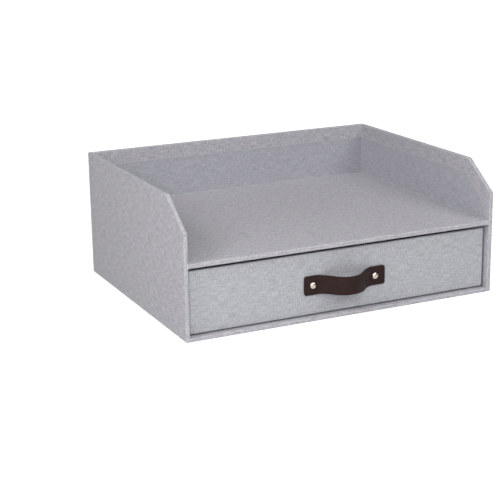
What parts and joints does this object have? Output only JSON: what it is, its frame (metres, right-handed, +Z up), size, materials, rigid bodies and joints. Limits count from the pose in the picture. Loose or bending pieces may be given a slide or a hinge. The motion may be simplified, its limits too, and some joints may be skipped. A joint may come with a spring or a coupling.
{
  "type": "desk organizer tray with drawer",
  "caption": "Paper-covered fibreboard desk organizer: an open letter tray with sloped front corners over a wide shallow drawer with a bowed leather strap pull.",
  "frame": {"origin": "middle of the case's footprint, on the desk that it stands on", "axes": "+X to the right as seen from the front, -Y out of the drawer front, +Z up"},
  "size_m": [0.33, 0.2691, 0.13],
  "materials": {
    "fibreboard": "grey-brown solid fibreboard, die-cut edges",
    "covering_paper": "blue-grey covering paper embossed like linen, matte",
    "lining_paper": "blue-grey lining paper, matte",
    "sole_paper": "smooth grey closing sheet",
    "strap_leather": "dark brown smooth leather with burnished edges",
    "nickel": "polished nickel plate on steel"
  },
  "bodies": {
    "case": {"base_board": "fibreboard", "shelf_board": "fibreboard", "back_board": "fibreboard", "left_side_board": "fibreboard", "right_side_board": "fibreboard", "case_wrap": "covering_paper", "shelf_wrap": "covering_paper", "base_wrap": "covering_paper", "tray_left_lining": "lining_paper", "tray_right_lining": "lining_paper", "tray_back_lining": "lining_paper", "bay_left_lining": "lining_paper", "bay_right_lining": "lining_paper", "bay_back_lining": "lining_paper", "bay_ceiling_lining": "lining_paper", "base_sole": "sole_paper"},
    "drawer": {"drawer_front_board": "fibreboard", "drawer_back_board": "fibreboard", "drawer_base_board": "fibreboard", "drawer_left_board": "fibreboard", "drawer_right_board": "fibreboard", "drawer_wrap": "covering_paper", "drawer_wall_lining": "lining_paper", "drawer_floor_lining": "lining_paper", "drawer_sole": "sole_paper", "pull_strap": "strap_leather", "rivet_posts": "nickel", "rivet_caps": "nickel"}
  },
  "joints": [
    {"name": "drawer_slide", "type": "slide", "parent": "case", "child": "drawer", "axis": [0, -1, 0], "range_m": [0, 0.2]}
  ]
}
